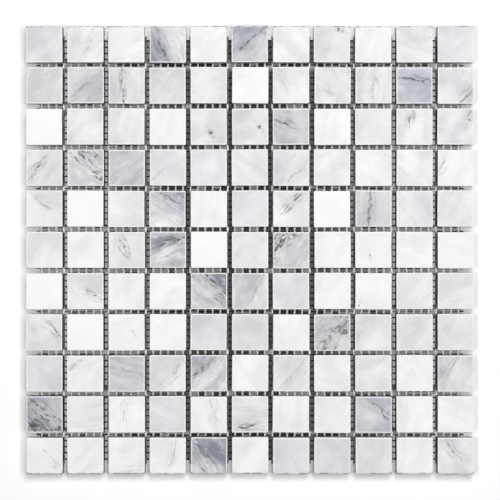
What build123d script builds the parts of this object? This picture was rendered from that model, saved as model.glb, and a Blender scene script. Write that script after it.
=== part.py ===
from build123d import *
import os
import random

# A mosaic sheet of square marble chips, bonded to a net of glass yarn.
# It lies flat with its faces up, along +Z, and the net's underside on the plane z = 0.
# The sheet's middle is over the origin. Rows of chips run along X, the first at +Y.
# All sizes are in millimetres, and angles in degrees.

# Marble chips
chips_per_side = 11
chip_side = 24.5
chip_thickness = 9.5
chip_corner_ease = 0.7
chip_edge_ease = 0.5
joint_width = 3.2

# How far a chip strays from its place when it is laid by hand
lay_shift = 0.22
lay_turn = 0.4
lay_seed = 11

# Net of flat yarns: weft runs along X, warp along Y and over the weft
net_inset = 6.0
warp_pitch = 5.05
warp_width = 0.9
warp_thickness = 0.35
weft_pitch = 4.17
weft_width = 0.6
weft_thickness = 0.25

# Places worked out from the sizes above
chip_pitch = chip_side + joint_width
sheet_side = chips_per_side * chip_pitch - joint_width
net_side = sheet_side - 2 * net_inset
net_thickness = weft_thickness + warp_thickness


def yarn_count(pitch, width):
    """Number of yarns that fit across the net with one yarn on its middle line."""
    yarns_each_way = int((net_side - width) / 2 // pitch)
    return 2 * yarns_each_way + 1


def save(piece, name):
    """Label a finished piece and write it as its own STEP file."""
    piece.part.label = name
    export_step(piece.part, f"parts/{name}.step")


os.makedirs("parts", exist_ok=True)

# Weft yarns, the lower layer of the net
with BuildPart() as weft_yarns:
    with BuildSketch():
        with GridLocations(0, weft_pitch, 1, yarn_count(weft_pitch, weft_width)):
            Rectangle(net_side, weft_width)
    extrude(amount=weft_thickness)
save(weft_yarns, "weft_yarns")

# Warp yarns, which lie on the weft and carry the chips
with BuildPart() as warp_yarns:
    with BuildSketch(Plane.XY.offset(weft_thickness)):
        with GridLocations(warp_pitch, 0, yarn_count(warp_pitch, warp_width), 1):
            Rectangle(warp_width, net_side)
    extrude(amount=warp_thickness)
save(warp_yarns, "warp_yarns")

# One sawn chip with eased corners and an eased edge round its face
with BuildPart() as chip:
    with BuildSketch() as chip_plan:
        Rectangle(chip_side, chip_side)
        chamfer(chip_plan.vertices(), chip_corner_ease)
    extrude(amount=chip_thickness)
    chamfer(chip.faces().sort_by(Axis.Z)[-1].edges(), chip_edge_ease)

# Rows of chips, bonded to the net as the hand left them
hand = random.Random(lay_seed)
first_chip = (chips_per_side - 1) * chip_pitch / 2
for row in range(chips_per_side):
    with BuildPart() as chip_row:
        for column in range(chips_per_side):
            across = column * chip_pitch - first_chip + hand.uniform(-lay_shift, lay_shift)
            along = first_chip - row * chip_pitch + hand.uniform(-lay_shift, lay_shift)
            turn = hand.uniform(-lay_turn, lay_turn)
            with Locations(Location((across, along, net_thickness), (0, 0, turn))):
                add(chip.part)
    save(chip_row, f"chip_row_{row + 1:02d}")
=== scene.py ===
# %% [markdown]
# # A marble mosaic sheet
#
# The object is a sheet of 121 sawn marble chips, bonded face up to a net of glass yarn. A CAD
# model already holds every chip and yarn at its real size, so this lesson only dresses it.
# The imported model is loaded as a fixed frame, and each new piece takes its place and size from it.

# %% Load the fixed frame
import math
import random
import bmesh
import bpy
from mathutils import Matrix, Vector


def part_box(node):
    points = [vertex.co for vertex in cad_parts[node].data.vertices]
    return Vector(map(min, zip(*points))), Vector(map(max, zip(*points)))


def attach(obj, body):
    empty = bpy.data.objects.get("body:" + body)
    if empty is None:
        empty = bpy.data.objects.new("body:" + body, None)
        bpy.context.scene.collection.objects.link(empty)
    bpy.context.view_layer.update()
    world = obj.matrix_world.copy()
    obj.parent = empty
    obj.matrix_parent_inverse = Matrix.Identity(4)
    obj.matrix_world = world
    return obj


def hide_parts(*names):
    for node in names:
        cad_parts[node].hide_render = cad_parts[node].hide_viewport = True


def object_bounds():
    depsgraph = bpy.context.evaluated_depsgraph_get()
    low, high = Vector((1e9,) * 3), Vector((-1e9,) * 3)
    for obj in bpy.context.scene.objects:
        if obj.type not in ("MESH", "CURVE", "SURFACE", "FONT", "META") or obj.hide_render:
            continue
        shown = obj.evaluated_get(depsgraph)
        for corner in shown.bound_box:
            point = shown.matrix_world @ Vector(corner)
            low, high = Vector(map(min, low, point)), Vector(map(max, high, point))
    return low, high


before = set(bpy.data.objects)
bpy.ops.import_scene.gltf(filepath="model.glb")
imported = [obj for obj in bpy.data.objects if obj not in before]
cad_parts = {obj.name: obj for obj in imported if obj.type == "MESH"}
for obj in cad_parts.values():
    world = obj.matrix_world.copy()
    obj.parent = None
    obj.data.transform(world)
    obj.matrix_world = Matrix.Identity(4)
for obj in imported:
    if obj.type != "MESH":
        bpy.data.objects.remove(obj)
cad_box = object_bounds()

MM = 0.001
scene = bpy.context.scene
scene.view_settings.view_transform = "Standard"
print("frame nodes:", len(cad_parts), "box:", [list(corner) for corner in cad_box])

# %% [markdown]
# ## Node trees written as sums
#
# A finish is mostly arithmetic on noise, and arithmetic reads best as an expression. The small
# class below wraps one socket, so that `1 - mask` adds its own Math node. Every other node comes
# from one method, which takes the node's type, its settings and what goes into its sockets. The
# same two classes serve shader trees and geometry trees.

# %% A wire and a bench
class Wire:
    """One output socket. Each sign of Python arithmetic on it adds a Math node to its tree."""

    def __init__(self, bench, socket):
        self.bench = bench
        self.socket = socket

    def out(self, name):
        """Another output of the same node."""
        return Wire(self.bench, self.socket.node.outputs[name])

    def __add__(self, other):
        return self.bench.math("ADD", self, other)

    def __radd__(self, other):
        return self.bench.math("ADD", other, self)

    def __sub__(self, other):
        return self.bench.math("SUBTRACT", self, other)

    def __rsub__(self, other):
        return self.bench.math("SUBTRACT", other, self)

    def __mul__(self, other):
        return self.bench.math("MULTIPLY", self, other)

    def __rmul__(self, other):
        return self.bench.math("MULTIPLY", other, self)

    def __truediv__(self, other):
        return self.bench.math("DIVIDE", self, other)

    def __rtruediv__(self, other):
        return self.bench.math("DIVIDE", other, self)

    def __abs__(self):
        return self.bench.math("ABSOLUTE", self)


class Bench:
    """A node tree to work on, with one way to add any node to it."""

    def __init__(self, tree):
        self.tree = tree
        tree.nodes.clear()

    def add(self, kind, settings=None, sockets=None):
        """Add a node, with its settings first and then its socket values, links or lists of links."""
        node = self.tree.nodes.new(kind)
        for name, value in (settings or {}).items():
            setattr(node, name, value)
        for identifier, value in (sockets or {}).items():
            socket = next(item for item in node.inputs if item.identifier == identifier)
            wires = value if isinstance(value, list) else [value]
            for wire in wires:
                if isinstance(wire, Wire):
                    self.tree.links.new(wire.socket, socket)
                else:
                    socket.default_value = value
        shown = [item for item in node.outputs if item.enabled]
        return Wire(self, shown[0]) if shown else node

    def math(self, operation, *values):
        """A Math node on one or two values."""
        sockets = dict(zip(("Value", "Value_001"), values))
        return self.add("ShaderNodeMath", {"operation": operation}, sockets)

    def ramp(self, value, low, high):
        """0 below low, 1 above high, and a smooth rise between them."""
        sockets = {"Value": value, "From Min": low, "From Max": high}
        return self.add("ShaderNodeMapRange", {"interpolation_type": "SMOOTHSTEP"}, sockets)

    def blend(self, share, first, second):
        """A colour between two colours."""
        sockets = {"Factor_Float": share, "A_Color": first, "B_Color": second}
        return self.add("ShaderNodeMix", {"data_type": "RGBA"}, sockets)

    def noise(self, place, scale, detail=3.0, roughness=0.55):
        """Soft noise around 0.5 on a place vector."""
        sockets = {"Vector": place, "Scale": scale, "Detail": detail, "Roughness": roughness}
        return self.add("ShaderNodeTexNoise", None, sockets)

    def vector(self, x, y, z):
        """A vector from three values."""
        return self.add("ShaderNodeCombineXYZ", None, {"X": x, "Y": y, "Z": z})

    def bump(self, height, depth):
        """A normal bent by a height from 0 to 1 that stands for a depth in metres."""
        return self.add("ShaderNodeBump", None, {"Height": height, "Distance": depth})

    def surface(self, sockets):
        """Finish a material with a Principled shader."""
        shader = self.add("ShaderNodeBsdfPrincipled", None, sockets)
        self.add("ShaderNodeOutputMaterial", None, {"Surface": shader})


def new_material(name):
    """A material with an empty node tree, and the bench to fill it."""
    material = bpy.data.materials.new(name)
    material.use_nodes = True
    return material, Bench(material.node_tree)


print("helpers ready: Wire and Bench")

# %% [markdown]
# ## Geometry Nodes as a workshop
#
# Chips and yarns both repeat, so each is described once as a Geometry Nodes tree with named sizes.
# The first helper makes such a tree. The second runs it on a start mesh and keeps the result as a
# plain mesh, because the finished piece has to carry no live modifier.

# %% Make a tree, run a tree
def new_tree(name, inputs):
    """A geometry tree with a Geometry input, the named inputs given, and a Geometry output."""
    tree = bpy.data.node_groups.new(name, "GeometryNodeTree")
    tree.interface.new_socket("Geometry", in_out="OUTPUT", socket_type="NodeSocketGeometry")
    tree.interface.new_socket("Geometry", in_out="INPUT", socket_type="NodeSocketGeometry")
    for label, kind in inputs.items():
        tree.interface.new_socket(label, in_out="INPUT", socket_type="NodeSocket" + kind)
    bench = Bench(tree)
    return tree, bench, bench.add("NodeGroupInput")


def end_tree(bench, geometry, material):
    """Give the geometry its material and close the tree."""
    sockets = {"Geometry": geometry, "Material": material}
    dressed = bench.add("GeometryNodeSetMaterial", None, sockets)
    ends = [item.identifier for item in bench.tree.interface.items_tree if item.in_out == "OUTPUT"]
    bench.add("NodeGroupOutput", None, {ends[0]: dressed})


def grow(name, start_mesh, tree, sizes):
    """Run a tree on a start mesh and keep the result as a plain mesh object."""
    piece = bpy.data.objects.new(name, start_mesh)
    scene.collection.objects.link(piece)
    modifier = piece.modifiers.new("grow", "NODES")
    modifier.node_group = tree
    sockets = [item for item in tree.interface.items_tree if item.in_out == "INPUT"]
    identifiers = {item.name: item.identifier for item in sockets}
    for label, value in sizes.items():
        modifier[identifiers[label]] = value
    depsgraph = bpy.context.evaluated_depsgraph_get()
    grown = piece.evaluated_get(depsgraph)
    mesh = bpy.data.meshes.new_from_object(grown, preserve_all_data_layers=True, depsgraph=depsgraph)
    piece.modifiers.remove(modifier)
    piece.data = mesh
    mesh.name = name
    return piece


def triangles(piece):
    """Number of triangles in a piece's mesh."""
    return sum(len(face.vertices) - 2 for face in piece.data.polygons)


print("helpers ready: new_tree, end_tree and grow")

# %% [markdown]
# ## Where each chip lies
#
# Every chip was set by hand, so no two stand quite square. The frame knows how each one lies. A
# merged copy of a row's mesh falls apart into eleven islands, and from each island come a centre
# and a turn. The longest sharp edge that lies level gives the turn, since it runs along a side.

# %% Read the chips from the frame
SHARP = math.radians(20)
SAME_POINT = 0.001 * MM
SAME_LEVEL = 0.01 * MM
row_names = sorted(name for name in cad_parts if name.startswith("chip_row_"))


def islands(mesh):
    """The separate solids in a mesh, as lists of vertices. The caller frees the bmesh."""
    solid = bmesh.new()
    solid.from_mesh(mesh)
    bmesh.ops.remove_doubles(solid, verts=solid.verts, dist=SAME_POINT)
    left = set(solid.verts)
    found = []
    while left:
        island = []
        edge_of_search = [left.pop()]
        while edge_of_search:
            vertex = edge_of_search.pop()
            island.append(vertex)
            near = {edge.other_vert(vertex) for edge in vertex.link_edges} & left
            left -= near
            edge_of_search.extend(near)
        found.append(island)
    return solid, found


def lie_of_chip(island):
    """Centre of a chip's underside, its turn in radians and its plan size."""
    points = [vertex.co for vertex in island]
    centre = sum(points, Vector()) / len(points)
    centre.z = min(point.z for point in points)
    edges = {edge for vertex in island for edge in vertex.link_edges}
    level = [edge for edge in edges if abs(edge.verts[0].co.z - edge.verts[1].co.z) < SAME_LEVEL]
    sides = [edge for edge in level if edge.calc_face_angle(0) > SHARP]
    side = max(sides, key=lambda edge: edge.calc_length())
    run = side.verts[1].co - side.verts[0].co
    quarter = math.pi / 2
    turn = (math.atan2(run.y, run.x) + quarter / 2) % quarter - quarter / 2
    reach = max((point - centre).dot(Vector((math.cos(turn), math.sin(turn), 0))) for point in points)
    return centre, turn, 2 * reach


def chips_of_row(name):
    """The chips of one row, from the left, as centre, turn and plan size."""
    solid, found = islands(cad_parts[name].data)
    chips = sorted((lie_of_chip(island) for island in found), key=lambda chip: chip[0].x)
    solid.free()
    return chips


chip_rows = [chips_of_row(name) for name in row_names]
chip_side = chip_rows[0][0][2]
bed, face = (corner[2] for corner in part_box(row_names[0]))
chip_thickness = face - bed
chip_pitch = (chip_rows[0][-1][0].x - chip_rows[0][0][0].x) / (len(chip_rows[0]) - 1)
joint_width = chip_pitch - chip_side
print("chips:", sum(map(len, chip_rows)), "side mm:", round(chip_side / MM, 2))
print("turns in degrees:", [round(math.degrees(turn), 2) for _, turn, _ in chip_rows[0]])

# %% [markdown]
# ## Which stone each chip was cut from
#
# The slab was veined white marble, so most chips are white or pale grey, and some hold a dark vein.
# Chips are sorted into a few kinds of stone, as at a sorting table. The chips that catch the eye,
# by a vein or by a plain grey or white, are on a list. It says how their veins lean and where on
# the face the main vein is darkest. Every other chip is a quiet one that a fixed seed draws by lot,
# with a lean of its own.

# %% Kinds of stone
# Traits: ground grey, clouds, streaks, shade on one side of the vein, the vein itself, dark specks,
# white flecks, warmth, and how far the vein reaches
TRAITS = ("ground", "cloud", "streak", "shade", "vein", "speck", "fleck", "warm", "reach")
STONES = {
    "snow": (0.02, 0.10, 0.04, 0.00, 0.0, 0.00, 0.00, 0.1, 0.30),
    "chalk": (0.13, 0.30, 0.18, 0.04, 0.0, 0.00, 0.00, 0.2, 0.30),
    "pale": (0.31, 0.48, 0.28, 0.06, 0.0, 0.00, 0.05, 0.1, 0.30),
    "mist": (0.40, 0.36, 0.22, 0.10, 0.0, 0.00, 0.25, -0.9, 0.30),
    "cream": (0.26, 0.24, 0.26, 0.10, 0.0, 0.00, 0.00, 0.6, 0.30),
    "scuffed": (0.44, 0.30, 0.30, 0.10, 0.0, 0.00, 0.70, 0.2, 0.30),
    "dotted": (0.10, 0.24, 0.12, 0.00, 1.2, 0.00, 0.00, 0.0, 0.02),
    "blotted": (0.38, 0.56, 0.24, 0.06, 1.2, 0.00, 0.20, -0.3, 0.06),
    "lined": (0.35, 0.54, 0.28, 0.08, 0.9, 0.00, 0.10, -0.6, 0.36),
    "faint": (0.32, 0.48, 0.34, 0.08, 0.4, 0.00, 0.10, -0.5, 0.45),
    "wisp": (0.13, 0.28, 0.20, 0.04, 0.4, 0.00, 0.00, 0.3, 0.45),
    "seam": (0.60, 0.40, 0.40, 0.10, 0.8, 0.00, 0.30, -0.4, 0.80),
    "veil": (0.62, 0.46, 0.50, 0.20, 0.3, 0.00, 0.25, -0.5, 0.80),
    "smoke": (0.78, 0.80, 0.24, 0.12, 1.0, 0.05, 0.15, -0.8, 0.50),
    "banded": (0.92, 0.80, 0.80, 0.42, 1.1, 0.15, 0.60, -0.6, 0.85),
    "peppered": (0.56, 0.56, 0.36, 0.12, 0.7, 0.75, 0.80, -0.4, 0.60),
    "storm": (0.82, 0.70, 0.30, 0.15, 0.7, 1.20, 0.40, -0.6, 0.95),
}
print("kinds of stone:", len(STONES))

# %% The sorting table
PLAIN_LOT = {"chalk": 0.48, "pale": 0.46, "mist": 0.06}
# Chips that catch the eye: row, column, lean in degrees, and the dark place, right and up from
# the middle in shares of the side
STANDOUTS = {
    "snow": [
        (3, 1, 45, 0.0, 0.0), (5, 2, 30, 0.0, 0.0), (5, 8, 30, 0.0, 0.0), (6, 5, 60, 0.0, 0.0),
        (7, 1, 45, 0.0, 0.0), (8, 2, 60, 0.0, 0.0),
    ],
    "pale": [(3, 3, 70, 0.2, 0.2)],
    "mist": [
        (1, 1, 40, 0.0, 0.0), (1, 11, 30, 0.2, -0.2), (4, 5, 80, 0.0, 0.0), (5, 6, 45, 0.0, 0.0),
        (5, 10, -60, 0.0, 0.0), (7, 7, 50, 0.3, -0.3), (8, 5, 55, 0.0, 0.0), (9, 1, -80, 0.0, 0.0),
        (10, 4, -30, 0.0, 0.0), (11, 8, -45, 0.0, 0.0),
    ],
    "cream": [
        (1, 3, 25, 0.0, 0.0), (4, 9, -40, 0.0, 0.0), (7, 10, 45, 0.0, 0.0), (7, 11, 20, 0.0, 0.0),
        (10, 2, 10, 0.0, -0.3),
    ],
    "scuffed": [(1, 10, -30, 0.0, 0.0), (2, 1, 60, 0.3, 0.0), (2, 4, 50, 0.3, 0.3)],
    "dotted": [(6, 9, 10, -0.1, -0.15), (7, 9, -20, -0.4, -0.4), (8, 3, 30, 0.25, -0.1)],
    "blotted": [(1, 8, 75, 0.2, 0.4), (3, 5, 30, 0.05, -0.15), (3, 6, 40, 0.25, 0.0)],
    "lined": [
        (2, 11, 42, 0.3, -0.3), (3, 10, 92, -0.1, 0.25), (3, 11, 60, 0.35, 0.2),
        (4, 1, 50, -0.25, -0.05), (5, 7, 52, 0.05, 0.15), (6, 3, -50, -0.1, 0.05),
        (7, 2, -33, 0.3, -0.1), (8, 1, -45, 0.25, 0.1), (10, 6, 185, -0.05, -0.33),
        (11, 11, -45, -0.05, 0.15),
    ],
    "faint": [
        (1, 2, 70, 0.1, 0.0), (2, 7, 105, -0.25, 0.25), (2, 8, -48, -0.1, -0.2), (2, 9, 72, 0.05, 0.0),
        (4, 4, 50, -0.4, -0.3), (4, 7, 40, -0.1, -0.35), (5, 1, -30, -0.05, 0.15), (9, 4, 55, 0.2, 0.0),
        (9, 7, 50, 0.0, -0.05),
    ],
    "wisp": [
        (4, 11, 60, -0.45, 0.0), (9, 2, 45, -0.25, 0.25), (10, 3, 85, -0.05, 0.05),
        (10, 5, -75, 0.1, 0.2), (11, 1, -50, 0.1, 0.0), (11, 3, 10, 0.2, -0.4), (11, 4, 70, 0.15, 0.1),
    ],
    "seam": [(2, 3, 95, -0.1, -0.1), (5, 9, 84, -0.1, 0.3)],
    "veil": [
        (2, 2, 220, 0.0, 0.0), (4, 3, 50, -0.1, 0.2), (7, 6, 62, 0.1, 0.0), (9, 3, -22, 0.0, 0.1),
        (9, 11, 62, -0.2, 0.1),
    ],
    "smoke": [
        (1, 6, 45, 0.0, 0.05), (2, 10, -8, 0.1, 0.15), (3, 7, -18, -0.3, 0.15), (10, 9, -35, 0.2, 0.1),
    ],
    "banded": [
        (1, 4, 112, -0.2, 0.0), (5, 4, -25, -0.2, 0.4), (6, 4, 20, 0.3, 0.3), (7, 5, -42, 0.2, 0.2),
        (9, 5, 47, -0.2, 0.2), (11, 5, -52, -0.3, 0.3),
    ],
    "peppered": [(4, 2, -38, 0.1, 0.2), (6, 7, 47, -0.3, 0.3), (8, 8, 50, 0.1, 0.0)],
    "storm": [(10, 1, 140, -0.2, -0.2)],
}
STONE_SEED = 5
TRAIT_SPREAD = 0.2
LEANS = (-45, -30, 30, 45, 60, 80)
LEAN_STRAY = 8
PLACE_STRAY = 0.3
BLOCK_RANGE = 60
sorting = random.Random(STONE_SEED)
listed = {chip[:2]: (stone, *chip[2:]) for stone, chips in STANDOUTS.items() for chip in chips}


def draw_stone(row, column):
    """One chip's traits, the lean of its veins and where its main vein is darkest."""
    drawn = sorting.choices(list(PLAIN_LOT), weights=PLAIN_LOT.values())[0]
    drawn_lean = sorting.choice(LEANS) + sorting.uniform(-LEAN_STRAY, LEAN_STRAY)
    by_lot = (drawn, drawn_lean, sorting.uniform(-PLACE_STRAY, PLACE_STRAY), 0.0)
    stone, lean, right, up = listed.get((row, column), by_lot)
    spread = [1 + TRAIT_SPREAD * sorting.uniform(-1, 1) for _ in TRAITS]
    traits = {name: value * share for name, value, share in zip(TRAITS, STONES[stone], spread)}
    angle = math.radians(lean)
    traits["lean"] = angle
    traits["aside"] = up * math.cos(angle) - right * math.sin(angle)
    traits["spot"] = right * math.cos(angle) + up * math.sin(angle)
    traits["seed"] = sorting.uniform(0, BLOCK_RANGE)
    return traits


print("listed chips:", len(listed))

# %% [markdown]
# ## Honed marble
#
# Marble is not a pattern on the surface but a block with veins running through it. So the finish
# is a solid pattern on Object coordinates, which the sawn sides cut through as well as the face.
# Each chip shifts and turns the pattern by its own traits, stored as attributes on its points.
# Along a vein's direction the noise is stretched, which makes streaks. A line that wanders across
# the chip makes the main vein, and it fades out a certain reach from its darkest place.

# %% The marble material
WHITE = (0.96, 0.96, 0.96, 1.0)
GREY = (0.245, 0.248, 0.262, 1.0)
COLD_GREY = (0.214, 0.236, 0.322, 1.0)
INK = (0.070, 0.076, 0.090, 1.0)
BLACK = (0.026, 0.027, 0.032, 1.0)
RUST = (0.74, 0.715, 0.68, 1.0)
PLAIN_LIGHT = (1.0, 1.0, 1.0, 1.0)
CREAM = (1.0, 0.992, 0.975, 1.0)
# Colour of painted shade: chips' sides in the joints, the sheet's top and bottom rim, yarns in the
# column joints
PAINTED_SHADE = (0.05, 0.05, 0.05, 1.0)
# How strongly painted shade darkens the chips' sides in the joints, and to what depths below the edge
JOINT_SIDE_SHADE = 0.95
JOINT_SIDE_SHADE_DEPTHS = (1.1 * MM, 0.4 * MM)
RIM_DEPTHS = (2.4 * MM, 1.2 * MM)
TOOTH_DEPTH = 0.02 * MM
MARBLE_GLOSS = 0.3
# Scales of the noises that keep one size on every chip, in waves a metre
CRYSTAL_SCALE = 900.0
# Scale of the painted highlight on the eased edge
EDGE_HIGHLIGHT_SCALE = 260.0
# Scale of the noise that breaks up the painted shade on the rim
RIM_SHADE_SCALE = 330.0
TOOTH_SCALE = 2600.0
PIT_SCALE = 900.0
joint_side_shade_heights = [chip_thickness - depth for depth in JOINT_SIDE_SHADE_DEPTHS]
rim_reach = [cad_box[1][0] - depth for depth in RIM_DEPTHS]


def marble_finish():
    """Honed white marble whose clouds, veins and specks follow each chip's own traits."""
    material, bench = new_material("honed_marble")

    def attribute(name):
        return bench.add("ShaderNodeAttribute", {"attribute_name": name})

    names = TRAITS + ("lean", "aside", "spot", "seed", "arris")
    trait = {name: attribute(name).out("Fac") for name in names}
    place = bench.add("ShaderNodeTexCoord").out("Object")
    settings = {"operation": "SUBTRACT"}
    sockets = {"Vector": place, "Vector_001": attribute("chip_centre").out("Vector")}
    from_centre = bench.add("ShaderNodeVectorMath", settings, sockets)
    sockets = {"Vector": from_centre, "Scale": 1 / chip_side}
    in_chip = bench.add("ShaderNodeVectorMath", {"operation": "SCALE"}, sockets)
    sockets = {"Vector": in_chip, "Angle": 0 - trait["lean"]}
    leaning = bench.add("ShaderNodeVectorRotate", {"rotation_type": "Z_AXIS"}, sockets)
    spread = bench.add("ShaderNodeSeparateXYZ", None, {"Vector": leaning})
    along, across, deep = spread.out("X"), spread.out("Y"), spread.out("Z")
    seed = trait["seed"]

    # A block of stone for each chip, and a line across it that wanders as a vein does
    block = bench.vector(along + seed * 3.1, across + seed * 1.7, deep + seed * 2.3)
    wander = bench.noise(block, 1.4, 2.0) - 0.5
    ripple = bench.noise(block, 6.0, 4.0, 0.65) - 0.5
    bent = across - trait["aside"] + wander * 0.30 + ripple * 0.10
    stretched = bench.vector(along * 0.8 + seed * 2.9, bent * 2.8 + seed, deep * 2.0 + seed * 1.3)
    fine = bench.vector(along * 1.6 + seed * 1.1, bent * 13.0 + seed, deep * 6.0 + seed)

    # Soft tones: clouds, streaks along the veins, fine threads, and a shade on one side of the vein
    clouds = bench.ramp(bench.noise(block, 1.3, 4.0), 0.28, 0.72) - 0.5
    streaks = bench.ramp(bench.noise(stretched, 1.2, 3.0, 0.5), 0.30, 0.70) - 0.5
    threads = bench.ramp(bench.noise(fine, 1.2, 4.0, 0.6), 0.32, 0.68)
    far_side = bench.ramp(bent + threads * 0.05, -0.10, 0.25)
    crystals = bench.noise(place, CRYSTAL_SCALE, 2.0, 0.7) - 0.5
    grey = trait["ground"] + trait["cloud"] * clouds * 0.6 + trait["streak"] * streaks * 0.55
    grey = grey + trait["streak"] * (threads - 0.5) * 0.20 + trait["shade"] * (far_side - 0.5)
    cold = bench.blend(0 - trait["warm"], GREY, COLD_GREY)
    colour = bench.blend(grey * 0.8 + crystals * 0.13, WHITE, cold)
    rusty = trait["warm"] * bench.ramp(streaks + threads * 0.4, 0.25, 0.7)
    colour = bench.blend(rusty * 0.5, colour, RUST)

    # The main vein: dark smears drawn out along a line, and a thin broken core
    away = abs(along - trait["spot"])
    window = 1 - bench.ramp(away, trait["reach"] * 0.3, trait["reach"] * 1.5)
    near = abs(bent)
    drawn_out = bench.vector(along * 1.7 + seed * 0.7, bent * 8.0 + seed * 1.9, deep * 6.0)
    smears = bench.ramp(bench.noise(drawn_out, 1.7, 4.0, 0.65), 0.46, 0.68)
    band = (1 - bench.ramp(near, 0.02, 0.26)) * window
    colour = bench.blend(trait["vein"] * band * (0.08 + smears * 0.70), colour, INK)
    broken = bench.ramp(bench.noise(block, 4.5, 3.0, 0.6), 0.47, 0.57)
    core = (1 - bench.ramp(near, 0.006, 0.040)) * window * broken
    ragged = (bench.noise(block, 13.0, 3.0, 0.7) - 0.5) * 0.36
    tight = 2 - bench.ramp(trait["reach"], 0.02, 0.12)
    blot = 1 - bench.ramp((away * 0.8 + near * 1.6) * tight + ragged, -0.01, 0.05)
    colour = bench.blend(trait["vein"] * bench.math("MAXIMUM", core, blot) * 0.85, colour, BLACK)
    offshoot = 1 - bench.ramp(abs(bent + 0.31 - wander * 0.4 + ripple * 0.06), 0.004, 0.034)
    offshoot = offshoot * bench.ramp(bench.noise(drawn_out, 1.1, 3.0, 0.6), 0.46, 0.62)
    colour = bench.blend(bench.ramp(trait["shade"], 0.2, 0.4) * offshoot * 0.7, colour, INK)

    # Dark specks in drifts along the vein, then white flecks and one line of calcite over them
    drift = bench.ramp(bench.noise(block, 2.1, 2.0), 0.30, 0.52)
    grains = bench.vector(along * 1.7 + seed, bent * 4.0 + seed * 2.0, deep * 4.0)
    peppery = bench.noise(grains, 3.1 - trait["speck"] * 1.1, 4.0, 0.72) + trait["speck"] * 0.09
    beside_vein = 1 - bench.ramp(near, trait["reach"] * 0.35, trait["reach"] * 0.75)
    specks = bench.ramp(peppery, 0.58, 0.67) * drift * beside_vein
    colour = bench.blend(bench.ramp(trait["speck"], 0.0, 0.6) * specks * 0.9, colour, BLACK)
    calcite = bench.vector(along * 1.3 + seed * 1.9, bent * 3.2, deep * 3.0 + seed)
    flecks = bench.ramp(bench.noise(calcite, 1.8, 5.0, 0.76), 0.54, 0.68)
    line = 1 - bench.ramp(abs(bent + 0.19 + wander * 0.2), 0.006, 0.026)
    line = line * broken * 0.7
    colour = bench.blend(trait["fleck"] * bench.math("MAXIMUM", flecks, line) * 0.85, colour, WHITE)
    tint = bench.blend(trait["warm"], PLAIN_LIGHT, CREAM)
    settings = {"data_type": "RGBA", "blend_type": "MULTIPLY"}
    sockets = {"Factor_Float": 1.0, "A_Color": colour, "B_Color": tint}
    colour = bench.add("ShaderNodeMix", settings, sockets)

    # Painted shade darkens the sides that face along a row below the edge, where the joints shade them
    plan = bench.add("ShaderNodeSeparateXYZ", None, {"Vector": in_chip})
    beside = bench.ramp(abs(plan.out("X")) - abs(plan.out("Y")), 0.0, 0.02)
    height = plan.out("Z") * chip_side
    below_edge = 1 - bench.ramp(height, *joint_side_shade_heights)
    outer = bench.add("ShaderNodeSeparateXYZ", None, {"Vector": place})
    rim_x = bench.ramp(abs(outer.out("X")), *rim_reach)
    colour = bench.blend(beside * below_edge * (1 - rim_x) * JOINT_SIDE_SHADE, colour, PAINTED_SHADE)

    # A painted highlight whitens the eased edge, partly from bruised crystals, and painted shade
    # darkens it along the sheet's top and bottom rim
    edge_highlight = trait["arris"] * (0.55 + bench.noise(place, EDGE_HIGHLIGHT_SCALE, 2.0) * 0.7)
    colour = bench.blend(edge_highlight, colour, PLAIN_LIGHT)
    # Painted shade on the outward eased edge along the sheet's top and bottom rim, broken up by a noise
    rim_y = bench.ramp(abs(outer.out("Y")), *rim_reach)
    rim_shade_breaks = bench.ramp(bench.noise(place, RIM_SHADE_SCALE, 3.0), 0.40, 0.64)
    colour = bench.blend(trait["arris"] * rim_y * (0.25 + rim_shade_breaks * 0.55), colour, PAINTED_SHADE)

    # Honed faces carry a fine tooth and small pits
    tooth = bench.noise(place, TOOTH_SCALE, 3.0)
    pits = bench.ramp(bench.noise(place, PIT_SCALE, 2.0), 0.62, 0.75)
    roughness = 0.34 + tooth * 0.12 + trait["arris"] * 0.2 + pits * 0.15
    normal = bench.bump(tooth * 0.5 - pits, TOOTH_DEPTH)
    bench.surface({
        "Base Color": colour, "Roughness": roughness, "Normal": normal,
        "Specular IOR Level": MARBLE_GLOSS,
    })
    return material


marble = marble_finish()
print("material:", marble.name, "nodes:", len(marble.node_tree.nodes))

# %% [markdown]
# ## One chip blank
#
# A chip is a sawn square with small rounded corners, and its top edge is eased so that it doesn't
# cut the hand. A bevelled cube would do, but then the edge could not be worn. Rings of points are
# stacked instead, each a square with rounded corners, and drawn in over the eased edge by a
# quarter circle. An attribute marks how much of the edge each ring is.

# %% Rings of a rounded square
CORNER = 0.75 * MM
EASE = 0.40 * MM
UNDERSIDE_EASE = 0.25 * MM
FACE_MARGIN = 0.65 * MM
SIDE_MARGIN = 0.25 * MM
SIDE_STEPS = 14
CORNER_STEPS = 3
EASE_STEPS = 3


def square_ring(half, corner):
    """Points of a square with rounded corners, anticlockwise in plan."""
    points = []
    straight = half - corner
    for quarter in range(4):
        turn = quarter * math.pi / 2
        plan = []
        for step in range(CORNER_STEPS + 1):
            angle = math.pi / 2 * step / CORNER_STEPS
            plan.append((straight + corner * math.cos(angle), straight + corner * math.sin(angle)))
        for step in range(1, SIDE_STEPS):
            plan.append((straight - 2 * straight * step / SIDE_STEPS, half))
        cosine, sine = math.cos(turn), math.sin(turn)
        points += [(x * cosine - y * sine, x * sine + y * cosine) for x, y in plan]
    return points


def chip_levels():
    """Height, inset and share of edge for each ring, from the underside up."""
    side_top = chip_thickness - EASE
    levels = [(0.0, UNDERSIDE_EASE, 0.0), (UNDERSIDE_EASE, 0.0, 0.0)]
    levels += [(side_top - SIDE_MARGIN, 0.0, 0.0), (side_top, 0.0, 0.5)]
    for step in range(1, EASE_STEPS + 1):
        angle = math.pi / 2 * step / EASE_STEPS
        height = side_top + EASE * math.sin(angle)
        levels.append((height, EASE * (1 - math.cos(angle)), 1.0))
    levels.append((chip_thickness, EASE + FACE_MARGIN, 0.0))
    return levels


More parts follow.
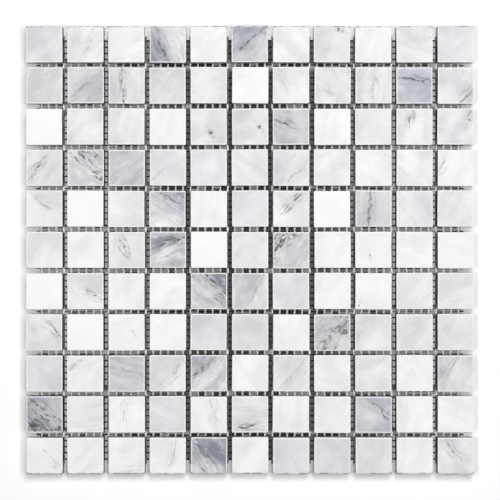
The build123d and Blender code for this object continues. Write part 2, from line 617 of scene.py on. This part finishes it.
def chip_blank():
    """A mesh of one chip standing on z = 0, with its edge attribute."""
    points = []
    edge_share = []
    for height, inset, share in chip_levels():
        ring = square_ring(chip_side / 2 - inset, max(CORNER - inset / 2, CORNER / 4))
        points += [(x, y, height) for x, y in ring]
        edge_share += [share] * len(ring)
    count = len(ring)
    rings = len(points) // count
    faces = [tuple(reversed(range(count))), tuple(range((rings - 1) * count, rings * count))]
    for level in range(rings - 1):
        for step in range(count):
            a = level * count + step
            b = level * count + (step + 1) % count
            faces.append((a, b, b + count, a + count))
    mesh = bpy.data.meshes.new("chip_blank")
    mesh.from_pydata(points, [], faces)
    mesh.attributes.new("arris", "FLOAT", "POINT").data.foreach_set("value", edge_share)
    mesh.shade_smooth()
    return bpy.data.objects.new("chip_blank", mesh)


blank = chip_blank()
print("chip blank triangles:", triangles(blank))

# %% [markdown]
# ## Rows of chips, worn a little at the edge
#
# Each row is a mesh of eleven bare points, one a chip, that carry the chip's turn and traits. The
# tree puts a blank on every point, makes the copies real, and then bites into the edges with two
# noises: a fine crumble all along, and a deep nick here and there. Traits pass from the points to
# the chips by themselves, so the marble finish can read them.

# %% The tree that lays a row
EDGE_INPUTS = {"Blank": "Object", "Crumble": "Float", "Nick": "Float", "Marble": "Material"}
CRUMBLE = 0.10 * MM
CRUMBLE_SCALE = 700.0
NICK = 0.55 * MM
NICK_SCALE = 190.0
NICK_RISE = (0.66, 0.76)


def row_tree():
    """Blanks on points, turned as laid, with crumbled edges."""
    tree, bench, given = new_tree("chip_row", EDGE_INPUTS)
    info = bench.add("GeometryNodeObjectInfo", None, {"Object": given.out("Blank")})
    settings = {"data_type": "FLOAT"}
    turn = bench.add("GeometryNodeInputNamedAttribute", settings, {"Name": "chip_turn"})
    turned = bench.add("FunctionNodeEulerToRotation", None, {"Euler": bench.vector(0.0, 0.0, turn)})
    sockets = {"Points": given.out("Geometry"), "Instance": info.out("Geometry"), "Rotation": turned}
    laid = bench.add("GeometryNodeInstanceOnPoints", None, sockets)
    solid = bench.add("GeometryNodeRealizeInstances", None, {"Geometry": laid})
    arris = bench.add("GeometryNodeInputNamedAttribute", settings, {"Name": "arris"})
    place = bench.add("GeometryNodeInputPosition")
    crumble = bench.noise(place, CRUMBLE_SCALE, 2.0) * given.out("Crumble")
    nick = bench.ramp(bench.noise(place, NICK_SCALE, 2.0), *NICK_RISE) * given.out("Nick")
    sockets = {"Vector": bench.add("GeometryNodeInputNormal"), "Scale": 0 - arris * (crumble + nick)}
    bite = bench.add("ShaderNodeVectorMath", {"operation": "SCALE"}, sockets)
    worn = bench.add("GeometryNodeSetPosition", None, {"Geometry": solid, "Offset": bite})
    end_tree(bench, worn, given.out("Marble"))
    return tree


def row_points(row, chips):
    """A mesh of one point a chip, with the chip's turn, centre and traits as attributes."""
    mesh = bpy.data.meshes.new("row_points")
    mesh.from_pydata([centre for centre, _, _ in chips], [], [])
    values = [draw_stone(row, column) for column in range(1, len(chips) + 1)]
    for values_of_chip, (_, turn, _) in zip(values, chips):
        values_of_chip["chip_turn"] = turn
    for name in values[0]:
        of_row = [values_of_chip[name] for values_of_chip in values]
        mesh.attributes.new(name, "FLOAT", "POINT").data.foreach_set("value", of_row)
    centres = [axis for centre, _, _ in chips for axis in centre]
    mesh.attributes.new("chip_centre", "FLOAT_VECTOR", "POINT").data.foreach_set("vector", centres)
    return mesh


laying = row_tree()
print("tree:", laying.name, "nodes:", len(laying.nodes))

# %% Lay the eleven rows
sizes = {"Blank": blank, "Crumble": CRUMBLE, "Nick": NICK, "Marble": marble}
for number, (node, chips) in enumerate(zip(row_names, chip_rows), start=1):
    row = grow(f"marble_row_{number:02d}", row_points(number, chips), laying, sizes)
    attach(row, "root")
    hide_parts(node)
bpy.data.objects.remove(blank)
print("triangles a row:", triangles(row))

# %% [markdown]
# ## The glass net
#
# The net is a leno weave: two thin warp strands twist round each other and grip every weft yarn,
# which keeps the open mesh from sliding. A flat woven texture could stand in for it, but the net
# shows in every joint, so its yarns are real. A path of points is bent into a strand, swept with
# a small flat section, repeated across the net, and then pulled a little out of true by noise.
# In the joints that run up and down, the yarns carry the same painted shade as the stone beside them.

# %% Glass yarn material
YARN_JOINT_SHADE = 0.75
YARN_COLUMN_MIDDLE = (0.5, 0.6)
YARN_ROW_MIDDLE = (0.45, 0.6)
FILAMENT_SCALE = 5200.0
FILAMENT_DEPTH = 0.03 * MM
PATCH_SCALE = 160.0
COAT_ROUGHNESS = 0.3


def off_joint(bench, place, axis, low, high):
    """0 along the middle of the joints that cross an axis, and 1 beside them, by joint widths."""
    along = bench.add("ShaderNodeSeparateXYZ", None, {"Vector": place}).out(axis)
    from_stone = bench.math("PINGPONG", along, chip_pitch / 2)
    return bench.ramp(chip_pitch / 2 - from_stone, low * joint_width, high * joint_width)


def yarn_finish(name, pale, dull, gloss):
    """Glass yarn with fine filaments along it and a patchy coat of size, more or less glossy.

    Painted shade darkens it in the joints that run up and down.
    """
    material, bench = new_material(name)
    place = bench.add("ShaderNodeTexCoord").out("Object")
    filaments = bench.noise(place, FILAMENT_SCALE, 2.0)
    patches = bench.ramp(bench.noise(place, PATCH_SCALE, 3.0), 0.35, 0.65)
    colour = bench.blend(patches * 0.6 + filaments * 0.4, pale, dull)
    # Painted shade: the yarns darken in the joints that run up and down, where the chips shade them
    beside_row = off_joint(bench, place, "Y", *YARN_ROW_MIDDLE)
    in_column = 1 - off_joint(bench, place, "X", *YARN_COLUMN_MIDDLE)
    colour = bench.blend(beside_row * in_column * YARN_JOINT_SHADE, colour, PAINTED_SHADE)
    normal = bench.bump(filaments, FILAMENT_DEPTH)
    bench.surface({
        "Base Color": colour, "Roughness": 0.30 + patches * 0.1, "Normal": normal,
        "Coat Weight": gloss, "Coat Roughness": COAT_ROUGHNESS, "Specular IOR Level": gloss,
    })
    return material


WARP_PALE = (0.97, 0.97, 0.97, 1.0)
WARP_DULL = (0.93, 0.93, 0.93, 1.0)
WARP_GLOSS = 0.8
WEFT_PALE = (0.32, 0.32, 0.32, 1.0)
WEFT_DULL = (0.18, 0.18, 0.18, 1.0)
WEFT_GLOSS = 0.1
warp_glass = yarn_finish("warp_glass", WARP_PALE, WARP_DULL, WARP_GLOSS)
weft_glass = yarn_finish("weft_glass", WEFT_PALE, WEFT_DULL, WEFT_GLOSS)
print("materials:", warp_glass.name, weft_glass.name)

# %% Measure the net in the frame
def yarns_of(node, axis):
    """How many yarns a node holds, their pitch, and the node's box."""
    solid, found = islands(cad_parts[node].data)
    places = sorted(sum(vertex.co[axis] for vertex in island) / len(island) for island in found)
    solid.free()
    return len(places), (places[-1] - places[0]) / (len(places) - 1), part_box(node)


warp_count, warp_pitch, warp_box = yarns_of("warp_yarns", 0)
weft_count, weft_pitch, _ = yarns_of("weft_yarns", 1)
net_length = warp_box[1][1] - warp_box[0][1]
net_top = warp_box[1][2]
print("warp:", warp_count, "weft:", weft_count, "net mm:", round(net_length / MM, 1))

# %% The tree that weaves a set of yarns
YARN_INPUTS = {
    "Yarns": "Int", "Pitch": "Float", "Length": "Float", "Cells": "Int", "Swing": "Float",
    "Width": "Float", "Thickness": "Float", "Level": "Float", "Lift": "Float", "Stray": "Float",
    "Turn": "Float", "Glass": "Material",
}
STEPS_PER_CELL = 2
STRAY_ALONG = 25.0
STRAY_ACROSS = 90.0


def strand(bench, given, side):
    """One strand along X that swings from side to side at every cell, as a swept mesh."""
    steps = given.out("Cells") * STEPS_PER_CELL
    step = bench.vector(given.out("Length") / steps, 0.0, 0.0)
    start = bench.vector(given.out("Length") * -0.5, 0.0, given.out("Level") + given.out("Lift") * side)
    sockets = {"Count": steps + 1, "Start Location": start, "Offset": step}
    line = bench.add("GeometryNodeMeshLine", None, sockets)
    path = bench.add("GeometryNodeMeshToCurve", None, {"Mesh": line})
    angle = bench.add("GeometryNodeInputIndex") * (math.pi / STEPS_PER_CELL)
    swing = bench.math("COSINE", angle) * given.out("Swing")
    offset = bench.vector(0.0, swing * side, 0.0)
    bent = bench.add("GeometryNodeSetPosition", None, {"Geometry": path, "Offset": offset})
    level = bench.add("GeometryNodeSetCurveNormal", {"mode": "Z_UP"}, {"Curve": bent})
    sockets = {"Width": given.out("Width"), "Height": given.out("Thickness")}
    section = bench.add("GeometryNodeCurvePrimitiveQuadrilateral", None, sockets)
    sockets = {"Curve": level, "Profile Curve": section, "Fill Caps": True}
    return bench.add("GeometryNodeCurveToMesh", None, sockets)


def yarn_tree():
    """A pair of strands, repeated at the pitch, turned to its direction and pulled out of true."""
    tree, bench, given = new_tree("glass_yarns", YARN_INPUTS)
    strands = [strand(bench, given, side) for side in (1.0, -1.0)]
    pair = bench.add("GeometryNodeJoinGeometry", None, {"Geometry": strands})
    first = (given.out("Yarns") - 1) * given.out("Pitch") * -0.5
    sockets = {
        "Count": given.out("Yarns"), "Start Location": bench.vector(0.0, first, 0.0),
        "Offset": bench.vector(0.0, given.out("Pitch"), 0.0),
    }
    spots = bench.add("GeometryNodeMeshLine", None, sockets)
    laid = bench.add("GeometryNodeInstanceOnPoints", None, {"Points": spots, "Instance": pair})
    solid = bench.add("GeometryNodeRealizeInstances", None, {"Geometry": laid})
    place = bench.add("GeometryNodeInputPosition")
    axes = bench.add("ShaderNodeSeparateXYZ", None, {"Vector": place})
    slow = bench.vector(axes.out("X") * STRAY_ALONG, axes.out("Y") * STRAY_ACROSS, 0.0)
    pull = (bench.noise(slow, 1.0, 2.0) - 0.5) * given.out("Stray")
    sockets = {"Geometry": solid, "Offset": bench.vector(0.0, pull, 0.0)}
    strayed = bench.add("GeometryNodeSetPosition", None, sockets)
    sockets = {"Geometry": strayed, "Rotation": bench.vector(0.0, 0.0, given.out("Turn"))}
    turned = bench.add("GeometryNodeTransform", None, sockets)
    smooth = bench.add("GeometryNodeSetShadeSmooth", None, {"Geometry": turned})
    end_tree(bench, smooth, given.out("Glass"))
    return tree


weaving = yarn_tree()
print("tree:", weaving.name, "nodes:", len(weaving.nodes))

# %% Weave the warp and the weft
warp_sizes = {
    "Yarns": warp_count, "Pitch": warp_pitch, "Length": net_length, "Cells": weft_count,
    "Swing": 0.28 * MM, "Width": 1.10 * MM, "Thickness": 0.24 * MM, "Level": net_top / 2,
    "Lift": 0.15 * MM, "Stray": 0.7 * MM, "Turn": math.pi / 2, "Glass": warp_glass,
}
weft_sizes = {
    "Yarns": weft_count, "Pitch": weft_pitch, "Length": net_length, "Cells": warp_count,
    "Swing": 0.12 * MM, "Width": 0.80 * MM, "Thickness": 0.20 * MM, "Level": net_top / 2,
    "Lift": 0.0, "Stray": 0.9 * MM, "Turn": 0.0, "Glass": weft_glass,
}
weaves = {"leno_warp": ("warp_yarns", warp_sizes), "flat_weft": ("weft_yarns", weft_sizes)}
for name, (node, sizes) in weaves.items():
    yarns = grow(name, bpy.data.meshes.new(name + "_start"), weaving, sizes)
    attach(yarns, "root")
    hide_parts(node)
    heights = [round(vertex.co.z / MM, 2) for vertex in yarns.data.vertices]
    print(name, "triangles:", triangles(yarns), "height mm:", min(heights), "to", max(heights))

# %% [markdown]
# ## Films of glue in the net
#
# Glue holds the chips to the net, and here and there it has dried as a thin grey film across a
# cell between the yarns. A film shows in a joint that runs left to right as a cell that isn't dark.
# Drawing each one by hand would be slow, so a thin plate is put on those points of a grid that lie
# in such a joint and where a noise is high enough. Films are more common to the left and right.

# %% The tree that spreads the films
FILM_INPUTS = {
    "Columns": "Int", "Rows": "Int", "Across": "Float", "Along": "Float", "Cover": "Float",
    "Thickness": "Float", "Level": "Float", "Limit": "Float", "Chip Pitch": "Float",
    "Glue": "Material",
}
FILM_SCALE = 190.0
JOINT_CELLS = 0.8
END_REACH = (0.3 * net_length / 2, 0.9 * net_length / 2)
END_GAIN = 0.12


def film_tree():
    """Thin plates in the joints' cells of a grid, wherever a noise is over its limit."""
    tree, bench, given = new_tree("glue_films", FILM_INPUTS)
    across, along = given.out("Across"), given.out("Along")
    sockets = {
        "Size X": (given.out("Columns") - 1) * across, "Size Y": (given.out("Rows") - 1) * along,
        "Vertices X": given.out("Columns"), "Vertices Y": given.out("Rows"),
    }
    cells = bench.add("GeometryNodeMeshGrid", None, sockets)
    place = bench.add("GeometryNodeInputPosition")
    axes = bench.add("ShaderNodeSeparateXYZ", None, {"Vector": place})
    half_pitch = given.out("Chip Pitch") * 0.5
    from_stone = bench.math("PINGPONG", axes.out("Y"), half_pitch)
    in_joint = bench.math("LESS_THAN", half_pitch - from_stone, along * JOINT_CELLS)
    to_ends = bench.ramp(abs(axes.out("X")), *END_REACH)
    chance = bench.noise(place, FILM_SCALE, 1.0) + to_ends * END_GAIN
    chosen = in_joint * bench.math("GREATER_THAN", chance, given.out("Limit"))
    size = bench.vector(across * given.out("Cover"), along * given.out("Cover"), given.out("Thickness"))
    plate = bench.add("GeometryNodeMeshCube", None, {"Size": size})
    sockets = {"Points": cells, "Selection": chosen, "Instance": plate}
    laid = bench.add("GeometryNodeInstanceOnPoints", None, sockets)
    solid = bench.add("GeometryNodeRealizeInstances", None, {"Geometry": laid})
    sockets = {"Geometry": solid, "Offset": bench.vector(0.0, 0.0, given.out("Level"))}
    raised = bench.add("GeometryNodeSetPosition", None, sockets)
    end_tree(bench, raised, given.out("Glue"))
    return tree


spreading = film_tree()
print("tree:", spreading.name, "nodes:", len(spreading.nodes))

# %% Spread the films
GLUE_PALE = (0.31, 0.31, 0.305, 1.0)
GLUE_DULL = (0.25, 0.25, 0.25, 1.0)
GLUE_GLOSS = 0.4
glue = yarn_finish("dried_glue", GLUE_PALE, GLUE_DULL, GLUE_GLOSS)
film_sizes = {
    "Columns": warp_count - 1, "Rows": weft_count - 1, "Across": warp_pitch, "Along": weft_pitch,
    "Cover": 0.97, "Thickness": 0.06 * MM, "Level": 0.7 * net_top, "Limit": 0.57,
    "Chip Pitch": chip_pitch, "Glue": glue,
}
films = grow("glue_films", bpy.data.meshes.new("film_start"), spreading, film_sizes)
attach(films, "root")
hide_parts("weft_yarns")
print("films of glue:", len(films.data.vertices) // 8)

# %% [markdown]
# ## Floor and card
#
# The sheet lies on a plain white floor that keeps its soft shadow. Past the shadow the floor is a
# little whiter to the camera than its light alone would make it, and painted light whitens it in the
# open ends of the joints, where the chips shade it.
# A black card lies under the net, a little smaller than it, and glows with painted shade and light
# as the ground behind the joints. Its painted light pales it to the left and right. It glows most
# along the middle of the joints that run up and down, less in those that run left to right, and
# hardly at all beside them, where painted shade stands for the chips' shadow. Its glow is shown to
# the camera alone, so that the chips' sides don't mirror it. Both are stage, not part of the object.

# %% Lay the floor and the card
FLOOR_SIDE = 6.0
FLOOR_DROP = 0.5 * MM
CARD_DROP = 0.2 * MM
CARD_MARGIN = 2.0 * MM
SHEET_EDGE = cad_box[1][0]
SHADOW_REACH = (SHEET_EDGE + 2 * MM, SHEET_EDGE + 8 * MM)
FAR_REACH = (1.2 * SHEET_EDGE, 8 * SHEET_EDGE)
PAST_SHADOW_GLOW = 0.07
FAR_GLOW = 0.9
# Painted light in the open ends of the joints: at the lower ends, and extra at the upper ends
JOINT_END_PAINTED_LIGHT = 0.19
UPPER_END_PAINTED_LIGHT = 0.16
END_FADE = 2 * MM
END_SPREAD = 5 * MM
MIDDLE_FADE = 1 * MM
PAPER_DULL = (0.84, 0.84, 0.84, 1.0)
PAPER_PALE = (0.86, 0.86, 0.86, 1.0)
PAPER_SCALE = 3.0
MATT = 0.9
UNLIT = (0.0, 0.0, 0.0, 1.0)
# The card glows with painted shade in the middle and painted light towards its left and right ends
CARD_BLACK = (0.02, 0.02, 0.02, 1.0)
CARD_PAINTED_SHADE = (0.062, 0.060, 0.059, 1.0)
CARD_PAINTED_LIGHT = (0.42, 0.42, 0.42, 1.0)
# Share of the glow in the row joints and beside the column joints, where painted shade darkens it
IN_ROW_JOINT = 0.62
BESIDE_COLUMN_JOINT = 0.10
CARD_COLUMN_MIDDLE = (0.40, 0.55)
CARD_ROW_MIDDLE = (0.15, 0.40)
CARD_SCALE = 220.0


def flat_sheet(name, side, height, material):
    """A level square plane centred under the object."""
    half = side / 2
    mesh = bpy.data.meshes.new(name)
    plan = [(-half, -half), (half, -half), (half, half), (-half, half)]
    mesh.from_pydata([(x, y, height) for x, y in plan], [], [(0, 1, 2, 3)])
    mesh.materials.append(material)
    sheet = bpy.data.objects.new(name, mesh)
    scene.collection.objects.link(sheet)
    return sheet


def seen_directly(bench):
    """1 for a ray from the camera, a mirror or glass, and 0 for a ray that carries light."""
    path = bench.add("ShaderNodeLightPath")
    either = bench.math("MAXIMUM", path.out("Is Camera Ray"), path.out("Is Glossy Ray"))
    return bench.math("MAXIMUM", either, path.out("Is Transmission Ray"))


def floor_finish():
    """White paper, a shade whiter to the camera than the light that it gives back.

    Painted light whitens it in the open ends of the joints, where the chips shade it.
    """
    material, bench = new_material("white_floor")
    place = bench.add("ShaderNodeTexCoord").out("Object")
    mottle = bench.noise(place, PAPER_SCALE)
    paper = bench.blend(mottle, PAPER_DULL, PAPER_PALE)
    seen = seen_directly(bench)
    colour = bench.blend(seen, paper, PLAIN_LIGHT)
    axes = bench.add("ShaderNodeSeparateXYZ", None, {"Vector": place})
    x, y = abs(axes.out("X")), abs(axes.out("Y"))
    # Painted light to the camera in the open ends of the joints, where the chips shade the floor
    inside_edge = 1 - bench.ramp(y, cad_box[1][1] - END_FADE, cad_box[1][1])
    painted_light_joint_ends = bench.ramp(y - x, 0.0, END_SPREAD) * inside_edge
    upper = bench.ramp(axes.out("Y"), -MIDDLE_FADE, MIDDLE_FADE)
    outward = bench.math("MAXIMUM", x, y)
    past_shadow = bench.ramp(outward, *SHADOW_REACH) * PAST_SHADOW_GLOW
    far_off = bench.ramp(outward, *FAR_REACH) * FAR_GLOW
    shown = painted_light_joint_ends * (JOINT_END_PAINTED_LIGHT + upper * UPPER_END_PAINTED_LIGHT) + past_shadow + far_off
    glow = bench.blend(seen * shown, UNLIT, PLAIN_LIGHT)
    bench.surface({
        "Base Color": colour, "Roughness": MATT, "Specular IOR Level": 0.0, "Emission Color": glow,
        "Emission Strength": 1.0,
    })
    return material


def painted_ground_finish(reach):
    """Painted shade of the ground behind the net, with painted light at its ends, shown to the camera
    alone.
    """
    material, bench = new_material("painted_shade_ground")
    place = bench.add("ShaderNodeTexCoord").out("Object")
    axes = bench.add("ShaderNodeSeparateXYZ", None, {"Vector": place})
    off_column = off_joint(bench, place, "X", *CARD_COLUMN_MIDDLE)
    off_row = off_joint(bench, place, "Y", *CARD_ROW_MIDDLE)
    # Painted light: the ground pales towards the left and right ends
    painted_light_to_ends = bench.ramp(abs(axes.out("X")), 0.15 * reach, 0.9 * reach)
    share = painted_light_to_ends * (0.85 + bench.noise(place, CARD_SCALE) * 0.3)
    tone = bench.blend(share, CARD_PAINTED_SHADE, CARD_PAINTED_LIGHT)
    seen = bench.add("ShaderNodeLightPath").out("Is Camera Ray")
    # Painted shade: the glow drops beside the column joints, next to the chips' sides
    off_row_tone = (1 - IN_ROW_JOINT) - off_column * (1 - BESIDE_COLUMN_JOINT)
    glow = bench.blend(seen * (IN_ROW_JOINT + off_row * off_row_tone), UNLIT, tone)
    bench.surface({
        "Base Color": CARD_BLACK, "Roughness": MATT, "Specular IOR Level": 0.0,
        "Emission Color": glow, "Emission Strength": 1.0,
    })
    return material


flat_sheet("floor", FLOOR_SIDE, -FLOOR_DROP, floor_finish())
card_side = net_length - 2 * CARD_MARGIN
flat_sheet("joint_card", card_side, -CARD_DROP, painted_ground_finish(card_side / 2))
print("floor and card laid, card mm:", round(card_side / MM, 1))

# %% [markdown]
# ## Light and camera
#
# The joints tell how the sheet is lit: those that run left to right are lit down to the net, and
# those that run up and down stay dark. So two strips hang to the left and right, in line with the
# sheet's middle. A third softbox hangs beyond the first row and throws the soft shadow past the
# last row. Each softbox has a share of the light, from which its power is worked out. The shares
# and the world's own make about one whole, so that a colour renders about as it is written.

# %% Softboxes and world
FILL_SHARE = 0.05
# Place, width, depth and share of the light
SOFTBOXES = {
    "upper_key": ((0.20, 0.72, 1.65), 0.6, 0.6, 0.40),
    "right_strip": ((0.74, 0.0, 1.65), 0.9, 0.25, 0.25),
    "left_strip": ((-0.54, 0.0, 1.65), 0.8, 0.25, 0.29),
}


def softbox(name, place, wide, deep, share):
    """An area light aimed at the sheet that gives its share of the light on a level face there."""
    light = bpy.data.lights.new(name, "AREA")
    light.shape = "RECTANGLE"
    light.size = wide
    light.size_y = deep
    lamp = bpy.data.objects.new(name, light)
    lamp.location = place
    distance = lamp.location.length
    light.energy = share * math.pi ** 2 * distance ** 3 / lamp.location.z
    lamp.rotation_euler = lamp.location.to_track_quat("Z", "Y").to_euler()
    scene.collection.objects.link(lamp)
    return round(light.energy, 2)


for name, (place, wide, deep, share) in SOFTBOXES.items():
    print(name, "watts:", softbox(name, place, wide, deep, share))

world = bpy.data.worlds.new("studio")
world.use_nodes = True
scene.world = world
bench = Bench(world.node_tree)
brightness = FILL_SHARE + seen_directly(bench) * (1 - FILL_SHARE)
backdrop = bench.add("ShaderNodeBackground", None, {"Color": PLAIN_LIGHT, "Strength": brightness})
bench.add("ShaderNodeOutputWorld", None, {"Surface": backdrop})

# %% Camera straight above the sheet
CAMERA_HEIGHT = 1.18
FRAME_WIDTH = 336.5 * MM
camera = bpy.data.objects.new("camera", bpy.data.cameras.new("camera"))
camera.location = (0.0, 0.0, face + CAMERA_HEIGHT)
camera.data.lens = camera.data.sensor_width * CAMERA_HEIGHT / FRAME_WIDTH
scene.collection.objects.link(camera)
scene.camera = camera
print("lens mm:", round(camera.data.lens, 1))
